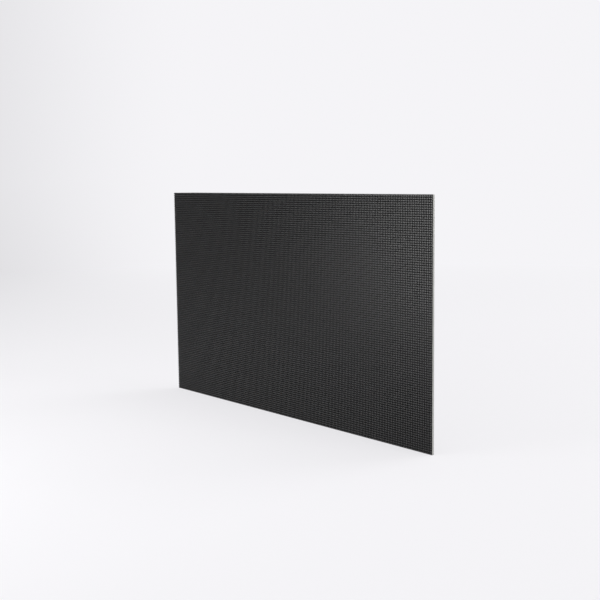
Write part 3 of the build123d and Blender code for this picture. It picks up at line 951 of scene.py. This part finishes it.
def bushes(node, slot, bore):
    """Brass bushes with a cut thread inside, in place of the plain ones."""
    shape = Shape()
    edge = BUSH_EDGE
    for low, high in islands(node):
        x, z = (low.x + high.x) / 2, (low.z + high.z) / 2
        outer = (high.x - low.x) / 2
        profile = ((high.y, outer - edge), (high.y - edge, outer), (low.y + edge, outer),
                   (low.y, outer - edge))
        rings = [circle(x, y, z, [radius] * THREAD_SIDES) for y, radius in profile]
        steps = int((high.y - low.y) / THREAD_PITCH * THREAD_RINGS)
        for k in range(steps + 1):
            rise = (high.y - low.y) * k / steps
            fade = min(1.0, k / THREAD_RINGS, (steps - k) / THREAD_RINGS)
            radii = []
            for a in turns(THREAD_SIDES):
                phase = (rise / THREAD_PITCH - a / (2 * math.pi)) % 1.0
                cut = (1 - abs(2 * phase - 1)) * fade + 1 - fade
                radii.append(bore + THREAD_DEPTH * cut)
            rings.append(circle(x, low.y + rise, z, radii))
        shape.stack(rings, caps=False, loop=True)
    smooth(shape.piece(f"{node}_finished", slot, node))


def circle(x, y, z, radii):
    """Points round an axis along Y, each at its own radius."""
    return [(x + r * math.cos(a), y, z + r * math.sin(a)) for a, r in zip(turns(len(radii)), radii)]


def studio():
    """Pale floor that fades into a pale surround, and soft lamps."""
    world = bpy.data.worlds.new("studio")
    bpy.context.scene.world = world
    world.use_nodes = True
    n = Tree(world.node_tree)
    way = n.split(n.new("ShaderNodeTexCoord").outputs["Generated"])
    shown = n.glow("ShaderNodeBackground", n.surround(way["X"], way["Y"]))
    light = n.glow("ShaderNodeBackground", (1.0, 1.0, 1.0), WORLD_LIGHT)
    n.link(n.blend(n.seen(), light, shown), n.new("ShaderNodeOutputWorld").inputs["Surface"])

    mesh = bpy.data.meshes.new("floor")
    bm = bmesh.new()
    bmesh.ops.create_circle(bm, cap_ends=True, segments=FLOOR_SIDES, radius=FLOOR_RADIUS)
    bm.to_mesh(mesh)
    bm.free()
    floor = bpy.data.objects.new("floor", mesh)
    bpy.context.scene.collection.objects.link(floor)
    mesh.materials.append(floor_material())

    for name, place, size, watts in LAMPS:
        lamp = bpy.data.lights.new(name, "AREA")
        lamp.shape = "RECTANGLE"
        lamp.size, lamp.size_y = size
        lamp.energy = watts
        held = bpy.data.objects.new(name, lamp)
        bpy.context.scene.collection.objects.link(held)
        held.location = place
        aim = Vector((0.0, 0.0, panel_height / 2)) - held.location
        held.rotation_euler = aim.to_track_quat("-Z", "Y").to_euler()
        held.visible_camera = False


def floor_material():
    """Pale paper with a light shadow near the panel, and the tone of the surround far from it."""
    n = Nodes("floor_paper")
    n.finish(color=FLOOR_COLOR, roughness=0.9, specular=0.1)
    squares = n.math("ADD", n.math("POWER", n.xyz["X"], 2.0), n.math("POWER", n.xyz["Y"], 2.0))
    fade = n.ramp(n.math("SQRT", squares), FADE_FROM, FADE_TO)
    x = n.math("SUBTRACT", n.xyz["X"], SURROUND_CENTER[0])
    y = n.math("SUBTRACT", n.xyz["Y"], SURROUND_CENTER[1])
    plain = n.glow("ShaderNodeEmission", n.mix(fade, SURROUND, n.surround(x, y)))
    share = n.math("MULTIPLY", n.seen(), n.ramp(fade, 0.0, 1.0, FLOOR_PLAIN, 1.0))
    n.link(n.blend(share, n.shader.outputs["BSDF"], plain), n.output.inputs["Surface"])
    return n.material


def camera():
    """The photograph's camera."""
    data = bpy.data.cameras.new("camera")
    data.sensor_width = SENSOR_MM
    data.lens = SENSOR_MM * FOCAL_PX / PICTURE_PX
    data.clip_start = CLIP_START
    data.clip_end = CLIP_END
    held = bpy.data.objects.new("camera", data)
    bpy.context.scene.collection.objects.link(held)
    back = Vector((math.sin(AZIMUTH) * math.cos(ELEVATION), -math.cos(AZIMUTH) * math.cos(ELEVATION),
                   math.sin(ELEVATION)))
    right = Vector((math.cos(AZIMUTH), math.sin(AZIMUTH), 0.0))
    up = back.cross(right)
    side = right * math.cos(ROLL) + up * math.sin(ROLL)
    top = up * math.cos(ROLL) - right * math.sin(ROLL)
    turn = Matrix((side, top, back)).transposed().to_4x4()
    place = Vector((CAMERA_X, board_front - CAMERA_FRONT, CAMERA_Z))
    held.matrix_world = Matrix.Translation(place) @ turn
    bpy.context.scene.camera = held


def structure():
    """The board, the frame, and the fasteners, magnets, pins and housings on them."""
    for node, (slot, width) in SOFTENED.items():
        softened(node, slot, width)
    bushes("mounting_inserts", "insert_brass", INSERT_BORE)
    bushes("board_spacers", "spacer_brass", SPACER_BORE)


def board_parts():
    """The contacts, chips and small parts, with the print and copper round them."""
    contacts("signal_in_contacts", "contact_gold")
    contacts("signal_out_contacts", "contact_gold")
    contacts("power_contacts", "contact_tin")
    board = Board(random.Random(SEED))
    board.chips("driver_chips", "driver_bodies", DRIVER_LEADS)
    board.chips("row_switch_chips", "row_switch_bodies", SWITCH_LEADS)
    board.chips("buffer_chips", "buffer_bodies", BUFFER_LEADS)
    board.chips("memory_chip", "memory_body", MEMORY_LEADS)
    board.passives("decoupling_capacitors", "capacitor_bodies", "capacitor_ceramic", board.end_terminals)
    board.passives("current_resistors", "resistor_bodies", "resistor_film", board.end_terminals)
    board.passives("resistor_arrays", "array_bodies", "resistor_film", board.side_terminals)
    board.diodes()
    board.bulk_capacitors()
    board.header_tails("signal_in_contacts")
    board.header_tails("signal_out_contacts")
    board.buses()
    board.pieces()


bpy.context.scene.view_settings.view_transform = "Standard"
looks = materials()
camera()
studio()
led_pieces()
structure()
board_parts()
